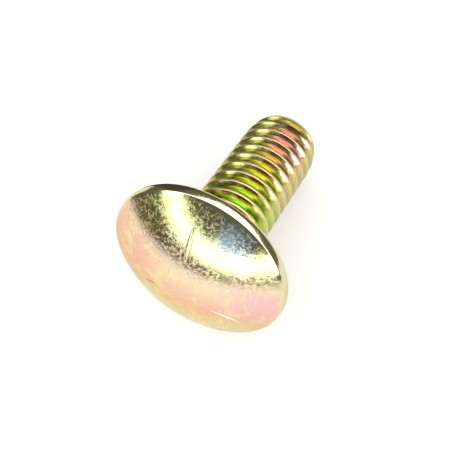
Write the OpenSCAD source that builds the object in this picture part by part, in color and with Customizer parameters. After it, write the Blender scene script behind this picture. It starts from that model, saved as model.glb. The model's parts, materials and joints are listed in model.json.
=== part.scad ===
// Round head carriage bolt with a square neck, short and threaded right up to the neck.
// It lies on its side: the rim of the head and a crest near the tip touch the ground.
// In its own frame the bolt stands on its dome, with the underside of the head at z = 0,
// the tip towards +Z and the first line of the head towards -X.

/* [Head] */
// Diameter of the head
head_d = 17.5; // [15:0.1:20]
// Height of the head, from its underside to the top of the dome
head_h = 4.45; // [3.8:0.05:6]
// Radius of the round between the underside and the side
rim_r = 0.8; // [0.4:0.05:1.2]
// Height of the side, from the round below it to the edge of the dome
side_h = 0.55; // [0.2:0.05:0.8]
// Radius to which the side bulges out
side_r = 4; // [2:0.1:12]
// Radius of the edge between the side and the dome
edge_r = 0.15; // [0.05:0.05:0.4]

/* [Lines on the head] */
// Number of raised radial lines
line_count = 3; // [0:1:6]
// Distance from the axis to the inner end of a line
line_start = 3.3; // [1.5:0.1:5]
// Length of a line
line_l = 3.5; // [1:0.1:3.8]
// Width of a line
line_w = 0.5; // [0.3:0.05:1]
// Height of a line above the dome
line_h = 0.15; // [0.05:0.05:0.4]

/* [Square neck] */
// Width of the neck across its flats
neck_w = 8; // [7.4:0.05:9]
// Width of the neck across its rounded corners
neck_corner_d = 10.6; // [10:0.1:11.6]
// Length of the neck, from the underside of the head to its shoulder
neck_l = 3.5; // [3:0.1:6]
// Length of the full corners, before they taper to the shoulder
corner_l = 2.2; // [1:0.1:2.6]
// Fillet between the neck and the underside of the head
neck_fillet = 0.4; // [0.1:0.05:0.7]

/* [Thread] */
// Diameter over the crests
thread_d = 7.8; // [6.8:0.05:7.8]
// Distance from one crest to the next, 18 to the inch
pitch = 1.411; // [0.8:0.001:1.6]
// Length of the bolt under its head
bolt_l = 18.5; // [12:0.5:60]
// Height of the crest nearest the neck, on the side of the first line
first_crest = 3.83; // [3:0.01:6]
// Length over which the groove runs out towards the neck
runout_l = 1; // [0.2:0.1:3]
// Length over which the crests round in towards the tip
tip_l = 3.3; // [1:0.1:5]
// How much smaller the radius is at the tip
tip_drop = 0.88; // [0.3:0.02:1.5]

/* [Lying] */
// Turn of the bolt about its axis as it lies, from the first line straight up
roll = -1.9; // [-180:0.1:180]

/* [Hidden] */
$fn = 96;

head_r = head_d / 2;
crest_r = thread_d / 2;
corner_r = neck_corner_d / 2;
shoulder_gap = 0.05; // how far the shoulder's edge stays inside the flats
shoulder_r = neck_w / 2 - shoulder_gap;
bite = 0.6; // how far one form reaches into the next

// The head's side bulges between the round under it and the edge of the dome.
rim_centre = [head_r - rim_r, -rim_r];
side_centre = [head_r - side_r, -rim_r];
side_turn = asin(side_h / side_r);
side_end = [cos(side_turn), -sin(side_turn)];
edge_centre = side_centre + (side_r - edge_r) * side_end;

// The dome is a ball that runs smoothly into that edge.
edge_h = head_h - edge_r;
dome_centre = [0, (pow(norm(edge_centre), 2) - pow(edge_h, 2)) / (2 * (edge_h + edge_centre.y))];
dome_r = dome_centre.y + head_h;
// Where the dome meets the edge, seen from either centre
meet = (edge_centre - dome_centre) / norm(edge_centre - dome_centre);

// One pitch of a unified thread: places along the pitch, from a crest's middle, with their
// depth below the crest. The crest is flat for an eighth of the pitch and the root is round.
crest_flat = 1 / 16;
root_start = 3 / 8;
flank_depth = (root_start - crest_flat) * sqrt(3);
root_depth = 0.6134;
profile = [
    [-crest_flat, 0],
    [crest_flat, 0],
    [root_start, flank_depth],
    [1 / 2, root_depth],
    [1 - root_start, flank_depth],
];
depths = concat(profile, [[1 - crest_flat, 0]]);

columns = 64;
thread_start = neck_l - bite;
first_turn = floor((thread_start - first_crest) / pitch) - 1;
turns = ceil((bolt_l - thread_start) / pitch) + 3;
rows = turns * len(profile);

// Share of the full groove that is cut at height z
function groove(z) = min(1, max(0.35, 0.35 + (z - neck_l) / runout_l));

// Largest radius at height z, which rounds in over the last stretch
function tip_limit(z) =
    let (s = max(0, (z - bolt_l + tip_l) / tip_l))
    crest_r - tip_drop * (1 - sqrt(1 - min(1, s * s)));

// Radius of the thread at height z and at a turn of 0 to 1 from the first line
function thread_r(turn, z) =
    let (
        along = (z - first_crest) / pitch - turn + crest_flat,
        depth = lookup(along - floor(along) - crest_flat, depths)
    )
    min(tip_limit(z), crest_r - depth * pitch * groove(z));

// Height of a row of the skin, which climbs one pitch in a turn
function row_z(column, row) =
    first_crest + pitch * (first_turn + floor(row / len(profile))
        + profile[row % len(profile)].x + column / columns);

// A row below the start or beyond the tip is the end row itself.
function row_at(column, row) =
    row_z(column, row) <= thread_start ? 0 : row_z(column, row) >= bolt_l ? rows - 1 : row;

function skin_point(column, row) =
    let (
        z = min(bolt_l, max(thread_start, row_z(column, row))),
        r = thread_r(column / columns, z),
        angle = 180 + 360 * column / columns
    )
    [r * cos(angle), r * sin(angle), z];

// After the last column comes the first one, one pitch further up.
function point_at(column, row) =
    column < columns
        ? column * rows + row_at(column, row)
        : row_at(0, min(rows - 1, row + len(profile)));

thread_points = concat(
    [for (c = [0 : columns - 1], r = [0 : rows - 1]) skin_point(c, r)],
    [[0, 0, thread_start], [0, 0, bolt_l]]
);
start_centre = columns * rows;
tip_centre = start_centre + 1;

function distinct(f) = f[0] != f[1] && f[1] != f[2] && f[2] != f[0];

thread_faces = concat(
    [
        for (c = [0 : columns - 1], r = [0 : rows - 2])
            let (
                a = point_at(c, r),
                b = point_at(c, r + 1),
                d = point_at(c + 1, r),
                e = point_at(c + 1, r + 1)
            )
            for (f = [[a, b, e], [a, e, d]])
                if (distinct(f)) f
    ],
    [for (c = [0 : columns - 1]) [start_centre, point_at(c, 0), point_at(c + 1, 0)]],
    [for (c = [0 : columns - 1]) [tip_centre, point_at(c + 1, rows - 1), point_at(c, rows - 1)]]
);

// The bolt tips until the first crest point touches the ground that the rim stands on.
function rolled_x(p) = p.x * cos(roll) - p.y * sin(roll);
function touch_angle(x, z) =
    let (reach = [z - rim_centre.y, rim_centre.x - x])
    atan2(reach.y, reach.x) + asin(rim_r / norm(reach));
lie = min([for (p = thread_points) touch_angle(rolled_x(p), p.z)]);
lie_left = dome_centre.y * cos(lie) - dome_r;
lie_right = max([for (p = thread_points) p.z * cos(lie) - rolled_x(p) * sin(lie)]);
lie_down = rim_centre.x * cos(lie) + rim_centre.y * sin(lie) + rim_r;

// Slice of a disc between two directions
module slice(centre, r, from, to) {
    intersection() {
        translate(centre) circle(r = r);
        polygon([centre, centre + 2 * r * from, centre + 2 * r * (from + to), centre + 2 * r * to]);
    }
}

module head() {
    color([0.74, 0.67, 0.36])
    rotate_extrude() {
        intersection() {
            translate(dome_centre) circle(r = dome_r);
            polygon([
                [0, 0],
                [rim_centre.x, 0],
                rim_centre,
                edge_centre,
                edge_centre + 2 * edge_r * meet,
                [edge_centre.x + 2 * edge_r * meet.x, -2 * head_h],
                [0, -2 * head_h],
            ]);
        }
        slice(edge_centre, edge_r, meet, side_end);
        slice(side_centre, side_r, side_end, [1, 0]);
        slice(rim_centre, rim_r, [1, 0], [0, 1]);
    }
}

// Raised lines on the dome, spread evenly about the axis
module lines() {
    color([0.8, 0.74, 0.45])
    for (k = [0 : 1 : line_count - 1])
        rotate(180 + k * 360 / line_count)
            intersection() {
                translate([0, 0, dome_centre.y]) sphere(r = dome_r + line_h);
                translate([line_start, -line_w / 2, -head_h - line_h])
                    cube([line_l, line_w, head_h]);
            }
}

// The square is cut by one turned form, which rounds its corners and tapers their ends.
module neck() {
    color([0.7, 0.64, 0.34]) {
        intersection() {
            translate([-neck_w / 2, -neck_w / 2, -bite]) cube([neck_w, neck_w, neck_l + bite]);
            rotate_extrude()
                polygon([
                    [0, -bite],
                    [corner_r, -bite],
                    [corner_r, corner_l],
                    [shoulder_r, neck_l],
                    [0, neck_l],
                ]);
        }
        intersection() {
            rotate(45)
                cylinder(h = neck_fillet, d1 = (neck_w + 2 * neck_fillet) * sqrt(2),
                    d2 = neck_w * sqrt(2), $fn = 4);
            cylinder(h = neck_fillet, r1 = corner_r + neck_fillet, r2 = corner_r);
        }
    }
}

// One closed skin whose rows follow the helix, from inside the neck to the tip
module thread() {
    color([0.76, 0.7, 0.4])
    polyhedron(points = thread_points, faces = thread_faces, convexity = 12);
}

module carriage_bolt() {
    translate([-(lie_left + lie_right) / 2, 0, lie_down])
        rotate([0, 90 + lie, 0])
            rotate(roll) {
                head();
                lines();
                neck();
                thread();
            }
}

carriage_bolt();
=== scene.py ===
"""Round head carriage bolt: the plated bolt as a finished mesh, with its stage, light and camera."""

import json
from math import asin, atan2, cos, pi, radians, sin, sqrt, tan
from types import SimpleNamespace

import bpy
from bpy.props import FloatProperty, FloatVectorProperty, IntProperty, PointerProperty
from mathutils import Euler, Matrix, Vector

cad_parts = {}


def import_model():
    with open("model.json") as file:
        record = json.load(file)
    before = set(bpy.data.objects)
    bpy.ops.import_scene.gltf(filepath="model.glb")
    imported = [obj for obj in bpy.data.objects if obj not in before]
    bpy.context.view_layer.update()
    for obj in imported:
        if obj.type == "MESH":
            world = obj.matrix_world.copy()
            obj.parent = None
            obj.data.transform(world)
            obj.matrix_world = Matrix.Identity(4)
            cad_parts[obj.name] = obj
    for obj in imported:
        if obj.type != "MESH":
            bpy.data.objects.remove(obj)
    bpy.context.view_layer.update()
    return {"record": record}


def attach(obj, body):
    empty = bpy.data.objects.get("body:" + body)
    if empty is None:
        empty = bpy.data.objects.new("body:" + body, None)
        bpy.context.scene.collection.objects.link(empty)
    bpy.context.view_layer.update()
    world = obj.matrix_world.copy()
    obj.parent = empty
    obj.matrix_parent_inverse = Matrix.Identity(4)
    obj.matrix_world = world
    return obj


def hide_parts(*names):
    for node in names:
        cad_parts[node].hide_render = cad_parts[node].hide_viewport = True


bl_info = {
    "name": "Round Head Carriage Bolt",
    "version": (1, 0, 0),
    "blender": (4, 5, 0),
    "location": "View3D > Sidebar > Bolt",
    "description": "Models a plated round head carriage bolt with its stage, light and camera",
    "category": "Object",
}

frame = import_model()
NODE = "carriage_bolt"
BODY = "root"
MM = 0.001
TAU = 2 * pi

# The bolt's own frame: the underside of the head at z = 0, the tip towards +z, the first
# line of the head towards -x. The frame's seat mount says where that lies.
SEAT = next(m for m in frame["record"]["mounts"] if m["name"] == "head_seat")
BOLT_AXIS = Vector(SEAT["axis"]).normalized()
ROLL = radians(-1.9)

# All that follows on the mesh is in millimetres. How far it stays within the CAD solid:
SHY = 0.014
# How far apart two faces are kept that would else lie in one plane.
NUDGE = 0.001
# Points nearer than this are merged.
MERGE = 0.001
# Faces that meet at less than this are shaded as one.
SMOOTH = radians(32)
# Sides to a turn, and parts of each round of the head's outline.
HEAD_STEPS = 240
FORM_STEPS = 96
THREAD_STEPS = 144
DOME_PARTS = 80
EDGE_PARTS = 8
SIDE_PARTS = 6
RIM_PARTS = 18
# A ring of the underside that the neck covers.
UNDERSIDE_R = 3.0
# A raised line is the top of a long ball: how deep the ball is, and how much longer and wider
# than the line, because its ends and sides run out below the dome. All but the first are worn.
LINE_DEEP = 0.26
LINE_LONGER = 0.1
LINE_WIDER = 0.03
LINE_WORN = 0.5
LINE_SIDES = 64
LINE_RINGS = 48
# How far the neck, its fillet, the thread and the thread's collar reach into what carries them.
NECK_BITE = 0.6
FILLET_BITE = 0.3
FILLET_TUCK = 0.004
THREAD_BITE = 0.6
COLLAR_BITE = 0.8
FORM_BITE = 1.0
# How far the shoulder's edge stays inside the flats of the neck.
SHOULDER_GAP = 0.05
# Angles round the fillet, from the head to the neck.
FILLET_TURNS = [radians(a) for a in (8, 15, 30, 45, 60, 75, 90)]
# Half the angle of the thread's groove, and the parts of its rounds.
FLANK = radians(30)
CREST_PARTS = 4
CREST_EDGE_PARTS = 5
ROOT_PARTS = 6
# Turns of the thread that are made past either end and cut off.
SPARE_TURNS = 4
# The form that rounds the tip starts outside the crests, so its first parts are left out.
TIP_SPARE = 0.1
TIP_PARTS = 24
TIP_SKIP = 2
# The collar passes the end of the full corners a little, and ends below the bottom of the groove.
COLLAR_PAST = 0.05
COLLAR_SINK = 0.05


def bolt_matrix():
    """Where the bolt's own frame lies in the shared frame, in metres."""
    z = BOLT_AXIS
    y = Vector((0, 1, 0))
    x = y.cross(z).normalized()
    turn = Matrix((x, y, z)).transposed().to_4x4()
    return Matrix.Translation(SEAT["pos_m"]) @ turn @ Matrix.Rotation(ROLL, 4, "Z")


def length(name, description, size):
    """A property for a length, given here in millimetres and kept in metres."""
    return FloatProperty(name=name, description=description, default=size * MM, min=0, precision=5,
                         subtype="DISTANCE", unit="LENGTH")


def colour(name, description, shade):
    return FloatVectorProperty(name=name, description=description, default=shade, size=3,
                               min=0, max=1, subtype="COLOR")


def factor(name, description, amount):
    return FloatProperty(name=name, description=description, default=amount, min=0, max=1,
                         subtype="FACTOR")


class BoltSizes(bpy.types.PropertyGroup):
    """Sizes of the bolt"""

    head_d: length("Head diameter", "Across the rim of the head", 17.5)
    head_h: length("Head height", "From the underside to the top", 4.45)
    rim_r: length("Rim radius", "Round between underside and side", 0.8)
    side_h: length("Side height", "From the lower round to the edge", 0.55)
    side_r: length("Side radius", "Radius to which the side bulges", 4.0)
    edge_r: length("Edge radius", "Round between side and dome", 0.15)
    line_count: IntProperty(name="Lines", description="Number of raised lines", default=3, min=0)
    line_start: length("Line start", "From the axis to a raised line", 3.3)
    line_l: length("Line length", "Length of a raised line", 3.5)
    line_w: length("Line width", "Width of a raised line", 0.5)
    line_h: length("Line height", "Height of the first raised line", 0.15)
    neck_w: length("Neck width", "Across the neck's flats", 8.0)
    neck_corner_d: length("Neck corners", "Across the neck's rounded corners", 10.6)
    neck_l: length("Neck length", "From the underside to the shoulder", 3.5)
    corner_l: length("Corner length", "Length of the full corners", 2.2)
    neck_fillet: length("Neck fillet", "Round from the neck into the head", 0.4)
    thread_d: length("Thread diameter", "Over the crests", 7.8)
    pitch: length("Pitch", "From crest to crest", 1.411)
    crest_r: length("Crest radius", "Round along the top of a crest", 0.8)
    crest_turn: FloatProperty(name="Crest turn", description="Half the angle of that round",
                              default=radians(7.5), min=0, subtype="ANGLE", unit="ROTATION")
    crest_edge_r: length("Crest edge", "Round between the crest and its flanks", 0.06)
    root_r: length("Root radius", "Round at the bottom of the groove", 0.2)
    bolt_l: length("Length", "From the underside to the tip", 18.5)
    first_crest: length("First crest", "Height of the first crest by the first line", 3.83)
    tip_l: length("Tip length", "Stretch that rounds in", 3.3)
    tip_drop: length("Tip drop", "Radius lost at the tip", 0.88)
    collar_d: length("Collar diameter", "The bolt where the groove starts", 7.1)
    collar_l: length("Collar length", "Stretch in which the groove deepens", 1.4)


class BoltFinish(bpy.types.PropertyGroup):
    """Colours and gloss of the yellow zinc film"""

    lilac: colour("Lilac", "Stain on one side of the dome", (0.98, 0.56, 0.62))
    bronze: colour("Bronze", "Stain on the other side, beside the band", (0.76, 0.60, 0.20))
    pink: colour("Pink", "Stain on the other side, in the band", (0.98, 0.55, 0.43))
    yellow: colour("Yellow", "Blots all over the dome", (0.97, 0.88, 0.48))
    olive: colour("Olive", "Blots on the upper part of the dome", (0.66, 0.58, 0.24))
    lime: colour("Lime", "Wash at the band's upper end", (0.74, 0.86, 0.30))
    slate: colour("Slate", "Patch near the rim", (0.66, 0.80, 0.82))
    side: colour("Side", "Side of the head", (0.84, 0.80, 0.46))
    bare: colour("Bare", "Specks and scratches on the dome", (0.84, 0.82, 0.48))
    groove_left: colour("Groove, left", "Groove on the left side", (0.74, 0.86, 0.16))
    groove_neck: colour("Groove, neck", "Groove on the right side by the neck", (0.46, 0.62, 0.10))
    groove_tip: colour("Groove, tip", "Groove on the right side towards the tip", (0.72, 0.46, 0.28))
    flank: colour("Flank", "Upper part of the flanks", (0.96, 0.86, 0.46))
    flank_left: colour("Flank, left", "The same on the left side", (0.62, 0.50, 0.18))
    flank_middle: colour("Flank, middle", "The same on top", (0.46, 0.28, 0.08))
    flank_right: colour("Flank, right", "The same on the right side", (0.68, 0.72, 0.17))
    flank_far: colour("Flank, far right", "The same, farthest round", (0.62, 0.60, 0.34))
    crest: colour("Crest", "Worn top of the thread", (0.98, 0.76, 0.42))
    crest_side: colour("Crest, sides", "The same on the left and right", (0.80, 0.74, 0.36))
    end: colour("End", "Tip of the bolt", (0.66, 0.62, 0.24))
    glance: colour("Glancing tint", "Tint of the gloss at a glancing angle", (0.88, 0.82, 0.64))
    gloss: factor("Roughness", "Roughness of the film", 0.12)
    worn_rough: factor("Worn roughness", "Added on specks and scratches", 0.22)
    shank_rough: factor("Shank roughness", "Added on the shank", 0.06)
    crest_rough: factor("Crest roughness", "Added on the crests", 0.22)
    grain: length("Grain", "Depth of the grain and scratches", 0.02)


class BoltStage(bpy.types.PropertyGroup):
    """Colours and light of the stage"""

    paper: colour("Floor", "Colour of the floor", (0.9, 0.9, 0.9))
    card: colour("Card", "Colour of the dark card", (0.03, 0.03, 0.025))
    room: colour("Room", "What the gloss sees of the room", (0.11, 0.11, 0.10))
    window: colour("Window", "Pale patch of the room", (0.44, 0.52, 0.66))
    ring: FloatProperty(name="Ring strength", description="Strength of the ring light",
                        default=3.4, min=0)


def in_millimetres(group):
    """The sizes of a group, its lengths turned into millimetres."""
    sizes = {}
    for name in type(group).__annotations__:
        value = getattr(group, name)
        is_length = group.bl_rna.properties[name].unit == "LENGTH"
        sizes[name] = round(value / MM, 5) if is_length else value
    return SimpleNamespace(**sizes)


def choose(*objects):
    """Select these objects only, the last of them active."""
    bpy.ops.object.select_all(action="DESELECT")
    for o in objects:
        o.select_set(True)
    bpy.context.view_layer.objects.active = objects[-1]


def apply_modifiers(o):
    choose(o)
    for m in list(o.modifiers):
        bpy.ops.object.modifier_apply(modifier=m.name)


def outline(name, points):
    """A chain of edges through points of radius and height, in the XZ plane."""
    bpy.ops.object.select_all(action="DESELECT")
    bpy.ops.mesh.primitive_plane_add(size=1, location=(0, 0, 0))
    o = bpy.context.object
    o.name = name
    bpy.ops.object.mode_set(mode="EDIT")
    bpy.ops.mesh.select_all(action="SELECT")
    bpy.ops.mesh.merge(type="CENTER")
    start = Vector((points[0][0], 0, points[0][1]))
    bpy.ops.transform.translate(value=start)
    for (r0, z0), (r1, z1) in zip(points, points[1:]):
        step = (r1 - r0, 0, z1 - z0)
        bpy.ops.mesh.extrude_vertices_move(TRANSFORM_OT_translate={"value": step})
    bpy.ops.object.mode_set(mode="OBJECT")
    return o


def turn_outline(o, steps, rise=0.0, turns=1):
    """Turn an outline about the Z axis, and up a helix where it has a rise."""
    m = o.modifiers.new("turn", "SCREW")
    m.axis = "Z"
    m.angle = TAU
    m.steps = steps
    m.render_steps = steps
    m.iterations = turns
    m.screw_offset = rise
    m.use_merge_vertices = rise == 0
    m.merge_threshold = MERGE
    apply_modifiers(o)
    clean(o)
    return o


def clean(o):
    """Merge doubles, take out slivers and point the faces outwards."""
    choose(o)
    bpy.ops.object.mode_set(mode="EDIT")
    bpy.ops.mesh.select_all(action="SELECT")
    bpy.ops.mesh.remove_doubles(threshold=MERGE)
    bpy.ops.mesh.dissolve_degenerate(threshold=MERGE)
    bpy.ops.mesh.normals_make_consistent(inside=False)
    bpy.ops.object.mode_set(mode="OBJECT")


def cut_to_triangles(o):
    """Done once at the end, so that the export finds no face that it could cut badly."""
    choose(o)
    bpy.ops.object.mode_set(mode="EDIT")
    bpy.ops.mesh.select_all(action="SELECT")
    bpy.ops.mesh.quads_convert_to_tris()
    bpy.ops.mesh.dissolve_degenerate(threshold=MERGE)
    bpy.ops.object.mode_set(mode="OBJECT")


def combine(o, other, how):
    """Boolean of o with another solid, which is used up."""
    m = o.modifiers.new(how, "BOOLEAN")
    m.operation = how
    m.solver = "EXACT"
    m.object = other
    apply_modifiers(o)
    bpy.data.objects.remove(other)
    return o


def arc(cx, cz, rx, rz, start, end, count):
    """Points round an ellipse, with angles from the +z axis towards +r."""
    return [
        (cx + rx * sin(start + (end - start) * k / count),
         cz + rz * cos(start + (end - start) * k / count))
        for k in range(count + 1)
    ]


def dome(s):
    """Radius and height of the centre of the dome's ball, and of the edge round it runs into."""
    turn = asin(s.side_h / s.side_r)
    edge_x = s.head_d / 2 - s.side_r + (s.side_r - s.edge_r) * cos(turn)
    edge_z = -s.rim_r - (s.side_r - s.edge_r) * sin(turn)
    edge_h = s.head_h - s.edge_r
    centre = (edge_x**2 + edge_z**2 - edge_h**2) / (2 * (edge_h + edge_z))
    return centre + s.head_h, centre, edge_x, edge_z, turn


def head(s):
    """The head's outline from the top of the dome round to the underside, turned."""
    ball, centre, edge_x, edge_z, turn = dome(s)
    meet = pi - atan2(edge_x, centre - edge_z)
    side = pi / 2 + turn
    top = s.head_d / 2
    points = arc(0, centre, ball, ball, pi, meet, DOME_PARTS)
    points += arc(edge_x, edge_z, s.edge_r, s.edge_r, meet, side, EDGE_PARTS)[1:]
    points += arc(top - s.side_r, -s.rim_r, s.side_r, s.side_r, side, pi / 2, SIDE_PARTS)[1:]
    points += arc(top - s.rim_r, -s.rim_r, s.rim_r, s.rim_r, pi / 2, 0, RIM_PARTS)[1:]
    points += [(UNDERSIDE_R, 0), (0, 0)]
    inside = [(x * (1 - SHY / top), z * (1 - SHY / s.head_h)) for x, z in points]
    return turn_outline(outline("head", inside), HEAD_STEPS)


def line(s, k):
    """A raised line: a long low swelling, tangent to the dome, that fades out at its ends."""
    ball, centre = dome(s)[:2]
    tilt = asin((s.line_start + s.line_l / 2) / ball)
    high = s.line_h if k == 0 else LINE_WORN * s.line_h
    bpy.ops.object.select_all(action="DESELECT")
    bpy.ops.mesh.primitive_uv_sphere_add(segments=LINE_SIDES, ring_count=LINE_RINGS, radius=1,
                                         location=(0, 0, 0))
    o = bpy.context.object
    o.name = "line"
    o.scale = (s.line_l / 2 + LINE_LONGER, s.line_w / 2 + LINE_WIDER, LINE_DEEP)
    bpy.ops.object.transform_apply(location=False, rotation=False, scale=True)
    turned = Matrix.Translation((0, 0, centre)) @ Matrix.Rotation(pi + TAU * k / s.line_count, 4, "Z")
    sunk = Matrix.Translation((0, 0, LINE_DEEP - ball - high))
    o.matrix_world = turned @ Matrix.Rotation(-tilt, 4, "Y") @ sunk
    choose(o)
    bpy.ops.object.transform_apply(location=True, rotation=True, scale=True)
    return o


def neck(s):
    """The square neck, its corners rounded and tapered by a turned form."""
    shoulder = s.neck_w / 2 - SHOULDER_GAP
    corner = s.neck_corner_d / 2
    top = s.neck_l - NUDGE
    bpy.ops.object.select_all(action="DESELECT")
    bpy.ops.mesh.primitive_cube_add(size=1, location=(0, 0, (s.neck_l - NECK_BITE) / 2))
    o = bpy.context.object
    o.name = "neck"
    o.scale = (s.neck_w, s.neck_w, s.neck_l + NECK_BITE)
    bpy.ops.object.transform_apply(location=True, rotation=True, scale=True)
    points = [(0, -NECK_BITE), (corner, -NECK_BITE), (corner, s.corner_l), (shoulder, top), (0, top)]
    combine(o, turn_outline(outline("form", points), FORM_STEPS), "INTERSECT")
    combine(o, fillet(s), "UNION")
    return o


def fillet(s):
    """The round where the neck runs into the head: a square form cut by a turned one."""
    f = s.neck_fillet

    def profile(width, stretch):
        curve = [
            ((width + f - (f + FILLET_TUCK) * sin(a)) * stretch, f - f * cos(a))
            for a in FILLET_TURNS
        ]
        return [(0, -FILLET_BITE), (curve[0][0], -FILLET_BITE)] + curve + [(0, f)]

    square = turn_outline(outline("fillet", profile(s.neck_w / 2, sqrt(2))), 4)
    square.rotation_euler = (0, 0, pi / 4)
    choose(square)
    bpy.ops.object.transform_apply(location=False, rotation=True, scale=False)
    form = turn_outline(outline("form", profile(s.neck_corner_d / 2, 1.0)), FORM_STEPS)
    return combine(square, form, "INTERSECT")


def thread_outline(s):
    """One crest and half a groove to either side, and the radius at the bottom of the groove."""
    r = s.thread_d / 2 - SHY
    turn = s.crest_turn
    points = arc(r - s.crest_r, 0, s.crest_r, s.crest_r, pi / 2, pi / 2 - turn, CREST_PARTS)
    edge_x = points[-1][0] - s.crest_edge_r * cos(turn)
    edge_z = points[-1][1] - s.crest_edge_r * sin(turn)
    points += arc(edge_x, edge_z, s.crest_edge_r, s.crest_edge_r, pi / 2 - turn, FLANK,
                  CREST_EDGE_PARTS)[1:]
    flank_x, flank_z = points[-1]
    run = (s.pitch / 2 - s.root_r * cos(FLANK) - flank_z) / tan(FLANK)
    root_x = flank_x - run + s.root_r * sin(FLANK)
    for k in range(ROOT_PARTS + 1):
        turn = (pi / 2 - FLANK) * (1 - k / ROOT_PARTS)
        points.append((root_x - s.root_r * cos(turn), s.pitch / 2 - s.root_r * sin(turn)))
    points += [(x, s.pitch - z) for x, z in reversed(points[:-1])]
    return points, root_x - s.root_r


def thread(s):
    """The thread as a helix, cut off at both ends, rounded in at the tip and shallow at the neck."""
    points, root = thread_outline(s)
    start = s.first_crest - SPARE_TURNS * s.pitch
    turns = int((s.bolt_l - start) / s.pitch) + SPARE_TURNS
    chain = outline("thread", [(x, z + start) for x, z in points])
    chain.rotation_euler = (0, 0, pi)
    choose(chain)
    bpy.ops.object.transform_apply(location=False, rotation=True, scale=False)
    o = turn_outline(chain, THREAD_STEPS, s.pitch, turns)
    bpy.ops.object.mode_set(mode="EDIT")
    for z, below in ((s.neck_l - THREAD_BITE, True), (s.bolt_l, False)):
        bpy.ops.mesh.select_all(action="SELECT")
        bpy.ops.mesh.bisect(plane_co=(0, 0, z), plane_no=(0, 0, 1), use_fill=True,
                            clear_inner=below, clear_outer=not below)
    bpy.ops.mesh.select_all(action="SELECT")
    bpy.ops.mesh.normals_make_consistent(inside=False)
    bpy.ops.object.mode_set(mode="OBJECT")

    r = s.thread_d / 2 - SHY
    low, shoulder = s.neck_l - FORM_BITE, s.bolt_l - s.tip_l
    tip = arc(r - s.tip_drop, shoulder, s.tip_drop, s.tip_l, pi / 2, 0, TIP_PARTS)[TIP_SKIP:]
    form = [(0, low), (r + TIP_SPARE, low), (r + TIP_SPARE, shoulder)] + tip + [(0, s.bolt_l)]
    combine(o, turn_outline(outline("form", form), THREAD_STEPS), "INTERSECT")

    foot, top = s.neck_l - COLLAR_BITE, s.neck_l + s.collar_l
    collar = [(0, foot), (s.collar_d / 2, foot), (s.collar_d / 2, s.neck_l + COLLAR_PAST),
              (root - COLLAR_SINK, top), (0, top)]
    combine(o, turn_outline(outline("collar", collar), THREAD_STEPS), "UNION")
    return o


class BOLT_OT_body(bpy.types.Operator):
    """Model the bolt: domed head with its lines, square neck and thread"""

    bl_idname = "bolt.body"
    bl_label = "Bolt"

    def execute(self, context):
        s = in_millimetres(context.scene.bolt_sizes)
        o = head(s)
        for k in range(s.line_count):
            combine(o, line(s, k), "UNION")
        combine(o, neck(s), "UNION")
        combine(o, thread(s), "UNION")
        clean(o)
        cut_to_triangles(o)
        if not o.data.polygons:
            raise RuntimeError("the bolt came out empty")
        o.name = "plated_bolt"
        o.data.name = "plated_bolt"
        choose(o)
        o.matrix_world = bolt_matrix() @ Matrix.Scale(MM, 4)
        bpy.ops.object.transform_apply(location=True, rotation=True, scale=True)
        bpy.ops.object.shade_smooth_by_angle(angle=SMOOTH)
        o.data.materials.clear()
        o.data.materials.append(plating(context.scene.bolt_finish))
        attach(o, BODY)
        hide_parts(NODE)
        return {"FINISHED"}


class Tree:
    """Short ways to place nodes in a tree and to join them."""

    def __init__(self, tree):
        self.nodes, self.links = tree.nodes, tree.links

    def put(self, socket, value):
        if isinstance(value, bpy.types.NodeSocket):
            self.links.new(value, socket)
        else:
            socket.default_value = value

    def add(self, kind, inputs, **settings):
        node = self.nodes.new(kind)
        for name, value in settings.items():
            setattr(node, name, value)
        for key, value in inputs.items():
            self.put(node.inputs[key], value)
        return node

    def math(self, how, a, b):
        return self.add("ShaderNodeMath", {0: a, 1: b}, operation=how).outputs[0]

    def plus(self, first, *others):
        for other in others:
            first = self.math("ADD", first, other)
        return first

    def times(self, first, *others):
        for other in others:
            first = self.math("MULTIPLY", first, other)
        return first

    def vector(self, how, a, b, out="Vector"):
        return self.add("ShaderNodeVectorMath", {0: a, 1: b}, operation=how).outputs[out]

    def along(self, place, direction):
        return self.vector("DOT_PRODUCT", place, direction, "Value")

    def length(self, place):
        return self.add("ShaderNodeVectorMath", {0: place}, operation="LENGTH").outputs["Value"]

    def off_axis(self, place):
        """How far a place is from the bolt's axis."""
        return self.length(self.vector("MULTIPLY", place, (1, 1, 0)))

    def fade(self, value, low, high, end=1.0):
        """From 0 at low to the end value at high, smoothly."""
        span = {"Value": value, "From Min": low, "From Max": high, "To Min": 0.0, "To Max": end}
        return self.add("ShaderNodeMapRange", span, interpolation_type="SMOOTHSTEP").outputs[0]

    def mix(self, amount, a, b, how="MIX"):
        node = self.add("ShaderNodeMix", {0: amount, 6: a, 7: b}, data_type="RGBA", blend_type=how)
        return node.outputs[2]

    def noise(self, place, scale, detail, rough=0.5, skew=0.0, out=0):
        looks = {"Vector": place, "Scale": scale, "Detail": detail, "Roughness": rough,
                 "Distortion": skew}
        return self.add("ShaderNodeTexNoise", looks).outputs[out]

    def ramp(self, value, stops):
        """Colours along a value, given as a list of the value and its colour."""
        low, high = stops[0][0], stops[-1][0]
        span = {"Value": value, "From Min": low, "From Max": high}
        node = self.add("ShaderNodeValToRGB", {0: self.add("ShaderNodeMapRange", span).outputs[0]})
        marks = node.color_ramp.elements
        while len(marks) < len(stops):
            marks.new(0.5)
        for mark, (at, tint) in zip(marks, stops):
            mark.position = (at - low) / (high - low)
            mark.color = (*tint, 1)
        return node.outputs[0]

    def seen_from(self, centre, turn, scale=1.0):
        """Where a point of the object lies, as seen from another centre and turn."""
        here = self.add("ShaderNodeTexCoord", {}).outputs["Object"]
        looks = {"Vector": here, "Location": centre, "Rotation": turn, "Scale": (scale,) * 3}
        return self.add("ShaderNodeMapping", looks, vector_type="TEXTURE").outputs[0]


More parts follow.
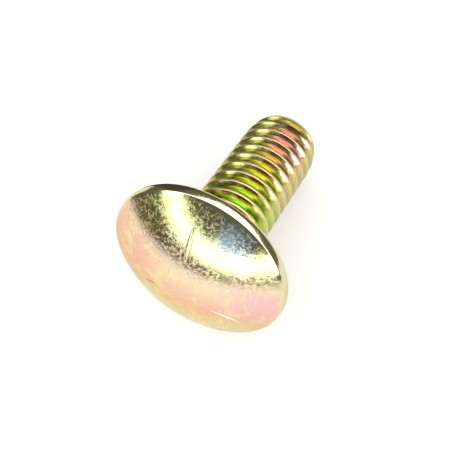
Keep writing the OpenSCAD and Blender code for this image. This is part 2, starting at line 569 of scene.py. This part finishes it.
def new_material(name):
    """A material with its Principled shader, and its tree."""
    m = bpy.data.materials.new(name)
    m.use_nodes = True
    return m, Tree(m.node_tree)


# Two directions across the bolt's axis, which the film's colours follow: down the dome's band,
# and along it.
BAND_TURN = radians(197.9)
DOWN = Vector((cos(BAND_TURN), sin(BAND_TURN), 0))
ALONG = Vector((-sin(BAND_TURN), cos(BAND_TURN), 0))
# Colours of the film on the dome across its band, by millimetres from the axis towards DOWN.
DOME_BAND = [
    (-7.0, (0.95, 0.94, 0.80)),
    (-5.6, (0.93, 0.90, 0.68)),
    (-4.4, (0.90, 0.78, 0.48)),
    (-3.2, (0.95, 0.66, 0.36)),
    (-2.0, (0.98, 0.60, 0.40)),
    (-0.9, (0.98, 0.64, 0.46)),
    (0.2, (0.98, 0.71, 0.49)),
    (1.2, (0.98, 0.78, 0.50)),
    (2.3, (0.98, 0.81, 0.60)),
    (3.2, (0.92, 0.68, 0.44)),
    (4.2, (0.78, 0.72, 0.38)),
    (5.5, (0.76, 0.82, 0.42)),
    (8.5, (0.76, 0.74, 0.38)),
]
# The band leans back on one side: from where to where along it, and by how much.
BAND_LEAN = (0.5, 7.0, -1.8)
# Colours of the film down in the groove, by millimetres from the underside of the head.
GROOVE_FILM = [
    (3.5, (0.52, 0.58, 0.14)),
    (5.0, (0.45, 0.73, 0.12)),
    (7.5, (0.56, 0.67, 0.10)),
    (9.5, (0.59, 0.60, 0.10)),
    (11.2, (0.58, 0.52, 0.13)),
    (12.2, (0.61, 0.45, 0.22)),
    (13.5, (0.65, 0.38, 0.33)),
    (15.6, (0.68, 0.34, 0.38)),
    (17.0, (0.44, 0.38, 0.22)),
    (18.5, (0.50, 0.46, 0.22)),
]
# Painted shade on the groove: the share of its colour that is left, where the rest is painted dark,
# by
# the turn about the shank: 0 on top and underneath, -1 left and 1 right.
GROOVE_PAINTED_SHADE = [
    (-1.0, 1.0),
    (-0.90, 0.8),
    (-0.76, 0.22),
    (-0.42, 0.36),
    (-0.14, 0.95),
    (0.14, 1.0),
    (0.32, 0.32),
    (0.50, 0.36),
    (0.66, 0.98),
    (1.0, 1.0),
]
# Noises by name: how many to a millimetre, detail, roughness and distortion.
NOISES = {
    "cloud": (0.28, 3, 0.55, 0.4),
    "smear": (1.1, 4, 0.6, 0.8),
    "specks": (3.0, 6, 0.72, 0.6),
    "blots": (0.55, 6, 0.68, 0.5),
    "dabs": (0.7, 4, 0.6, 0.6),
    "wash": (0.9, 3, 0.6, 0.5),
    "grain": (2.6, 5, 0.6, 0.2),
    "scuffs": (1.7, 2, 0.5, 0.0),
}
# How many millimetres the clouds and smears push the film's colours about, to either side of
# the noises' mean.
CLOUD_DRIFT = 3.2
SMEAR_DRIFT = 1.6
NOISE_MEAN = 0.5
# Hair scratches: the edges of cells, bent by a noise and seen only where the scuffs are.
HAIR_BEND = (0.8, 2)
HAIR_CELLS = 1.2
HAIR_EDGE = (0.04, 0.015)
HAIR_SCUFFS = (0.48, 0.54)
HAIR_DEPTH = -0.25
SPECKS_FADE = (0.47, 0.6)
# The middle of the slate patch, and how much the drift moves its edge.
SLATE_AT = DOWN * 7.3 + ALONG * 1.2
SLATE_DRIFT = 1.2
# Stains laid over the dome's band, each with its strength and where it fades in: by
# millimetres along or down the band or from a middle, or by the value of a noise.
STAINS = [
    ("lilac", 0.65, [("along", 2.0, 6.0), ("down", -2.5, 0.5), ("down", 4.6, 3.4)]),
    ("bronze", 0.8, [("along", -2.5, -5.5), ("down", 2.2, 3.4)]),
    ("pink", 0.6, [("along", -2.0, -5.0), ("down", 3.0, 1.5)]),
    ("yellow", 0.75, [("blots", 0.5, 0.62)]),
    ("olive", 0.6, [("dabs", 0.45, 0.62), ("down", 3.4, 4.6)]),
    ("lime", 0.7, [("along", -1.5, -3.5), ("wash", 0.42, 0.55), ("down", 4.2, 5.2)]),
    ("slate", 0.85, [("from_slate", 2.0, 0.8)]),
    ("side", 0.9, [("radius", 8.2, 8.7)]),
]
# How far down the band the bare specks and scratches begin, and how strong they are.
BARE_DOWN = (2.6, 3.8)
BARE_SHARE = 0.35
# Between which two values each part of the shank's film fades in: by its turn, by radius or by
# height.
RIGHT = (0.5, 0.8)
FAR_RIGHT = (0.72, 0.95)
LEFT = (-0.2, -0.65)
MIDDLE_FROM = (-0.3, -0.12)
MIDDLE_TO = (0.36, 0.14)
FLANK_OUT = (3.58, 3.72)
CREST_OUT = (3.855, 3.882)
CREST_UP = (3.0, 3.6)
ROSY_UP = (7.0, 9.5)
END_UP = (17.0, 18.1)
HEAD_END = (-0.6, 0.2)
SHANK_UP = (0.5, 3.0)
# How much the drift moves the groove's colours up and down, and how strong its sides and the
# end are.
GROOVE_DRIFT = 0.7
ROSY_DRIFT = 1.5
SIDE_SHARE = 0.9
END_SHARE = 0.9
# Least radius by which the turn is reckoned, so that it has a value on the axis too.
LEAST_RADIUS = 0.5
# The dome takes the full wear and grain, and the rest of the bolt this share of it.
DOME_UP = (-0.9, -1.4)
DOME_OUT = (8.6, 8.3)
REST_SHARE = 0.3


def readings(t):
    """What the film's colours go by: where a point is on the bolt, the noises, and the wear."""
    place = t.seen_from(bolt_matrix().to_translation(), bolt_matrix().to_euler(), MM)
    at = {name: t.noise(place, *looks) for name, looks in NOISES.items()}
    at["height"] = t.add("ShaderNodeSeparateXYZ", {0: place}).outputs["Z"]
    at["radius"] = t.off_axis(place)
    at["down"] = t.along(place, DOWN)
    at["along"] = t.along(place, ALONG)
    at["turn"] = t.math("DIVIDE", at["along"], t.math("MAXIMUM", at["radius"], LEAST_RADIUS))
    at["drift"] = t.plus(t.times(t.plus(at["cloud"], -NOISE_MEAN), CLOUD_DRIFT),
                         t.times(t.plus(at["smear"], -NOISE_MEAN), SMEAR_DRIFT))
    from_slate = t.off_axis(t.vector("SUBTRACT", place, SLATE_AT))
    at["from_slate"] = t.plus(from_slate, t.times(at["drift"], SLATE_DRIFT))
    bent = t.vector("ADD", place, t.noise(place, *HAIR_BEND, out="Color"))
    cells = t.add("ShaderNodeTexVoronoi", {"Vector": bent, "Scale": HAIR_CELLS},
                  feature="DISTANCE_TO_EDGE").outputs[0]
    at["hair"] = t.times(t.fade(cells, *HAIR_EDGE), t.fade(at["scuffs"], *HAIR_SCUFFS))
    at["worn"] = t.math("MAXIMUM", t.fade(at["specks"], *SPECKS_FADE), at["hair"])
    return at


def shade(look, name):
    """A colour of a property group, as sockets take it."""
    return (*getattr(look, name), 1)


def dome_film(t, look, at):
    """Bands across the dome, with the stains over them and the bare specks and scratches."""
    begin, end, lean = BAND_LEAN
    film = t.ramp(t.plus(at["down"], at["drift"], t.times(t.fade(at["along"], begin, end), lean)),
                  DOME_BAND)
    for name, strength, fades in STAINS:
        mask = t.times(*[t.fade(at[by], low, high) for by, low, high in fades], strength)
        film = t.mix(mask, film, shade(look, name))
    bare = t.times(at["worn"], t.fade(at["down"], *BARE_DOWN), BARE_SHARE)
    return t.mix(bare, film, shade(look, "bare"))


def shank_film(t, look, at):
    """The film's colour along the groove, with painted shade by its turn, paler on the flanks and
    crests. Also where a crest is.
    """
    turn, height = at["turn"], at["height"]
    right, left = t.fade(turn, *RIGHT), t.fade(turn, *LEFT)
    middle = t.times(t.fade(turn, *MIDDLE_FROM), t.fade(turn, *MIDDLE_TO))
    groove = t.ramp(t.plus(height, t.times(at["drift"], GROOVE_DRIFT)), GROOVE_FILM)
    rosy = t.fade(t.plus(height, t.times(at["drift"], ROSY_DRIFT)), *ROSY_UP)
    rosy = t.mix(rosy, shade(look, "groove_neck"), shade(look, "groove_tip"))
    groove = t.mix(t.times(right, SIDE_SHARE), groove, rosy)
    groove = t.mix(t.times(left, SIDE_SHARE), groove, shade(look, "groove_left"))
    # Painted shade: the groove's colour is multiplied by a grey that goes by its turn about the
    # shank.
    painted_groove_shade = t.ramp(turn, [(where, (grey, grey, grey)) for where, grey in GROOVE_PAINTED_SHADE])
    groove = t.mix(1.0, groove, painted_groove_shade, "MULTIPLY")
    flank = t.mix(middle, shade(look, "flank"), shade(look, "flank_middle"))
    far = t.mix(t.fade(turn, *FAR_RIGHT), shade(look, "flank_right"), shade(look, "flank_far"))
    flank = t.mix(right, flank, far)
    flank = t.mix(left, flank, shade(look, "flank_left"))
    top = t.mix(t.math("MAXIMUM", right, left), shade(look, "crest"), shade(look, "crest_side"))
    crest = t.times(t.fade(at["radius"], *CREST_OUT), t.fade(height, *CREST_UP))
    film = t.mix(t.fade(at["radius"], *FLANK_OUT), groove, flank)
    film = t.mix(crest, film, top)
    end = t.times(t.fade(height, *END_UP), END_SHARE)
    return t.mix(end, film, shade(look, "end")), crest


def plating(look):
    """Yellow zinc: its colours go by the place on the bolt, with painted shade in the groove, and it
    is rougher where it is worn.
    """
    m, t = new_material("yellow_zinc")
    at = readings(t)
    shank, crest = shank_film(t, look, at)
    film = t.mix(t.fade(at["height"], *HEAD_END), dome_film(t, look, at), shank)
    on_dome = t.times(t.fade(at["height"], *DOME_UP), t.fade(at["radius"], *DOME_OUT))
    share = t.plus(t.times(on_dome, 1 - REST_SHARE), REST_SHARE)
    rough = t.plus(t.times(at["worn"], share, look.worn_rough), look.gloss,
                   t.fade(at["height"], *SHANK_UP, look.shank_rough),
                   t.times(crest, look.crest_rough))
    relief = t.times(t.plus(at["grain"], t.times(at["hair"], HAIR_DEPTH)), share)
    bump = t.add("ShaderNodeBump", {"Strength": 1.0, "Distance": look.grain, "Height": relief})
    metal = t.nodes["Principled BSDF"]
    t.put(metal.inputs["Base Color"], film)
    t.put(metal.inputs["Roughness"], rough)
    t.put(metal.inputs["Normal"], bump.outputs[0])
    metal.inputs["Metallic"].default_value = 1.0
    metal.inputs["Specular Tint"].default_value = shade(look, "glance")
    return m


# The camera stands where it gives the photograph's view of the bolt.
CAMERA_AT = Vector((-32.501, -16.395, 74.866)) * MM
CAMERA_ELEVATION = radians(63.363)
CAMERA_AZIMUTH = radians(28.941)
CAMERA_ROLL = radians(-1.029)
LENS = 63.387
SENSOR = 36
CLIP_START = 1 * MM
FLOOR_R = 54 * MM
# What the floor adds to its own colour where the camera sees it, and where gloss does.
FLOOR_SEEN = 0.27
FLOOR_IN_GLOSS = 0.1
MATT = 0.9
ROUND_STEPS = 128
# The ring light: the point that it faces, how far from that point it stands, the angles from
# there to its two edges, and the width over which the inner one fades. The outer takes twice it.
RING_AIM = Vector((-8, 0, 9)) * MM
RING_AWAY = 28 * MM
RING_INNER = radians(49)
RING_OUTER = radians(70.4)
RING_SOFT = 3 * MM
# The dark card stands upright, along the shank: its near and far end, its place to the side,
# and its lower and upper edge.
CARD_X = (2 * MM, 34 * MM)
CARD_Y = 16 * MM
CARD_Z = (0.5 * MM, 26 * MM)
# The pale patch of the room: its direction, and the angles within which it is full and fades.
WINDOW_AZIMUTH = radians(190)
WINDOW_ELEVATION = radians(19)
WINDOW_FULL = radians(4)
WINDOW_END = radians(13)


def camera():
    """The camera looks down its own -z, so it is tipped up from straight down and turned."""
    level = Euler((pi / 2 - CAMERA_ELEVATION, 0, CAMERA_AZIMUTH - pi / 2)).to_matrix()
    turn = (level @ Euler((0, 0, CAMERA_ROLL)).to_matrix()).to_euler()
    bpy.ops.object.select_all(action="DESELECT")
    bpy.ops.object.camera_add(location=CAMERA_AT, rotation=turn)
    o = bpy.context.object
    o.data.lens = LENS
    o.data.sensor_width = SENSOR
    o.data.clip_start = CLIP_START
    bpy.context.scene.camera = o


def only_in_gloss(o):
    """The object is seen in reflections and nowhere else."""
    o.visible_camera = False
    o.visible_diffuse = False
    o.visible_shadow = False


def floor(stage):
    """A round white floor, matt, that glows a little where the camera or the gloss sees it."""
    bpy.ops.object.select_all(action="DESELECT")
    bpy.ops.mesh.primitive_circle_add(vertices=ROUND_STEPS, radius=FLOOR_R, fill_type="NGON",
                                      location=(0, 0, 0))
    o = bpy.context.object
    o.name = "floor"
    m, t = new_material("floor")
    paper = t.nodes["Principled BSDF"]
    paper.inputs["Base Color"].default_value = shade(stage, "paper")
    paper.inputs["Roughness"].default_value = MATT
    paper.inputs["Specular IOR Level"].default_value = 0.0
    rays = t.add("ShaderNodeLightPath", {}).outputs
    seen = t.plus(t.times(rays["Is Camera Ray"], FLOOR_SEEN),
                  t.times(rays["Is Glossy Ray"], FLOOR_IN_GLOSS))
    glow = t.add("ShaderNodeEmission", {"Color": (1, 1, 1, 1), "Strength": seen})
    both = t.add("ShaderNodeAddShader", {0: paper.outputs[0], 1: glow.outputs[0]})
    t.put(t.nodes["Material Output"].inputs["Surface"], both.outputs[0])
    o.data.materials.append(m)


def ring_light(stage):
    """A white ring about the camera's line of sight, with soft edges, that only gloss shows."""
    to_camera = (CAMERA_AT - RING_AIM).normalized()
    turn = to_camera.to_track_quat("Z", "Y").to_euler()
    centre = RING_AIM + to_camera * RING_AWAY
    inner, outer = RING_AWAY * tan(RING_INNER), RING_AWAY * tan(RING_OUTER)
    bpy.ops.object.select_all(action="DESELECT")
    bpy.ops.mesh.primitive_circle_add(vertices=ROUND_STEPS, radius=outer, fill_type="NOTHING")
    o = bpy.context.object
    o.name = "ring_light"
    bpy.ops.object.mode_set(mode="EDIT")
    bpy.ops.mesh.select_all(action="SELECT")
    bpy.ops.mesh.extrude_edges_move()
    bpy.ops.transform.resize(value=(inner / outer,) * 3)
    bpy.ops.object.mode_set(mode="OBJECT")
    o.rotation_euler = turn
    o.location = centre
    choose(o)
    bpy.ops.object.transform_apply(location=True, rotation=True, scale=True)
    m, t = new_material("ring_light")
    t.nodes.clear()
    far = t.length(t.seen_from(centre, turn))
    soft = t.times(t.fade(far, inner, inner + RING_SOFT), t.fade(far, outer, outer - 2 * RING_SOFT))
    glow = t.add("ShaderNodeEmission", {"Strength": t.times(soft, stage.ring)})
    clear = t.add("ShaderNodeBsdfTransparent", {})
    both = t.add("ShaderNodeMixShader", {0: soft, 1: clear.outputs[0], 2: glow.outputs[0]})
    t.put(t.add("ShaderNodeOutputMaterial", {}).inputs["Surface"], both.outputs[0])
    o.data.materials.append(m)
    only_in_gloss(o)


def dark_card(stage):
    """A dark card beside the shank, which draws its dark edge."""
    bpy.ops.object.select_all(action="DESELECT")
    bpy.ops.mesh.primitive_plane_add(size=1, location=(0, 0, 0))
    o = bpy.context.object
    o.name = "dark_card"
    o.scale = (CARD_X[1] - CARD_X[0], CARD_Z[1] - CARD_Z[0], 1)
    o.rotation_euler = (pi / 2, 0, 0)
    o.location = (sum(CARD_X) / 2, CARD_Y, sum(CARD_Z) / 2)
    choose(o)
    bpy.ops.object.transform_apply(location=True, rotation=True, scale=True)
    m, t = new_material("dark_card")
    felt = t.nodes["Principled BSDF"]
    felt.inputs["Base Color"].default_value = shade(stage, "card")
    felt.inputs["Roughness"].default_value = MATT
    o.data.materials.append(m)
    only_in_gloss(o)


def world(stage):
    """White light all round. Gloss sees a dark room instead, with one pale patch."""
    w = bpy.data.worlds.new("studio")
    bpy.context.scene.world = w
    w.use_nodes = True
    t = Tree(w.node_tree)
    t.nodes.clear()
    look = t.add("ShaderNodeTexCoord", {}).outputs["Generated"]
    level = cos(WINDOW_ELEVATION)
    window = (level * cos(WINDOW_AZIMUTH), level * sin(WINDOW_AZIMUTH), sin(WINDOW_ELEVATION))
    patch = t.fade(t.along(look, window), cos(WINDOW_END), cos(WINDOW_FULL))
    seen = t.mix(patch, shade(stage, "room"), shade(stage, "window"))
    room = t.add("ShaderNodeBackground", {"Color": seen})
    white = t.add("ShaderNodeBackground", {"Color": (1, 1, 1, 1)})
    rays = t.add("ShaderNodeLightPath", {}).outputs
    both = t.add("ShaderNodeMixShader",
                 {0: rays["Is Glossy Ray"], 1: white.outputs[0], 2: room.outputs[0]})
    t.put(t.add("ShaderNodeOutputWorld", {}).inputs["Surface"], both.outputs[0])


class BOLT_OT_stage(bpy.types.Operator):
    """Set out the camera, the floor, the ring light, the dark card and the world"""

    bl_idname = "bolt.stage"
    bl_label = "Stage"

    def execute(self, context):
        stage = context.scene.bolt_stage
        context.scene.view_settings.view_transform = "Standard"
        camera()
        floor(stage)
        ring_light(stage)
        dark_card(stage)
        world(stage)
        return {"FINISHED"}


class BOLT_PT_panel(bpy.types.Panel):
    """Lists the bolt's operators, and the sizes and colours that they use"""

    bl_idname = "BOLT_PT_panel"
    bl_label = "Carriage bolt"
    bl_space_type = "VIEW_3D"
    bl_region_type = "UI"
    bl_category = "Bolt"

    def draw(self, context):
        for operator in (BOLT_OT_body, BOLT_OT_stage):
            self.layout.operator(operator.bl_idname)
        for name, kind in GROUPS.items():
            box = self.layout.box()
            for size in kind.__annotations__:
                box.prop(getattr(context.scene, name), size)


GROUPS = {"bolt_sizes": BoltSizes, "bolt_finish": BoltFinish, "bolt_stage": BoltStage}
CLASSES = (*GROUPS.values(), BOLT_OT_body, BOLT_OT_stage, BOLT_PT_panel)


def register():
    for c in CLASSES:
        bpy.utils.register_class(c)
    for name, kind in GROUPS.items():
        setattr(bpy.types.Scene, name, PointerProperty(type=kind))


def unregister():
    for name in GROUPS:
        delattr(bpy.types.Scene, name)
    for c in reversed(CLASSES):
        bpy.utils.unregister_class(c)


def main():
    register()
    bpy.ops.bolt.body()
    bpy.ops.bolt.stage()


if __name__ == "__main__":
    main()
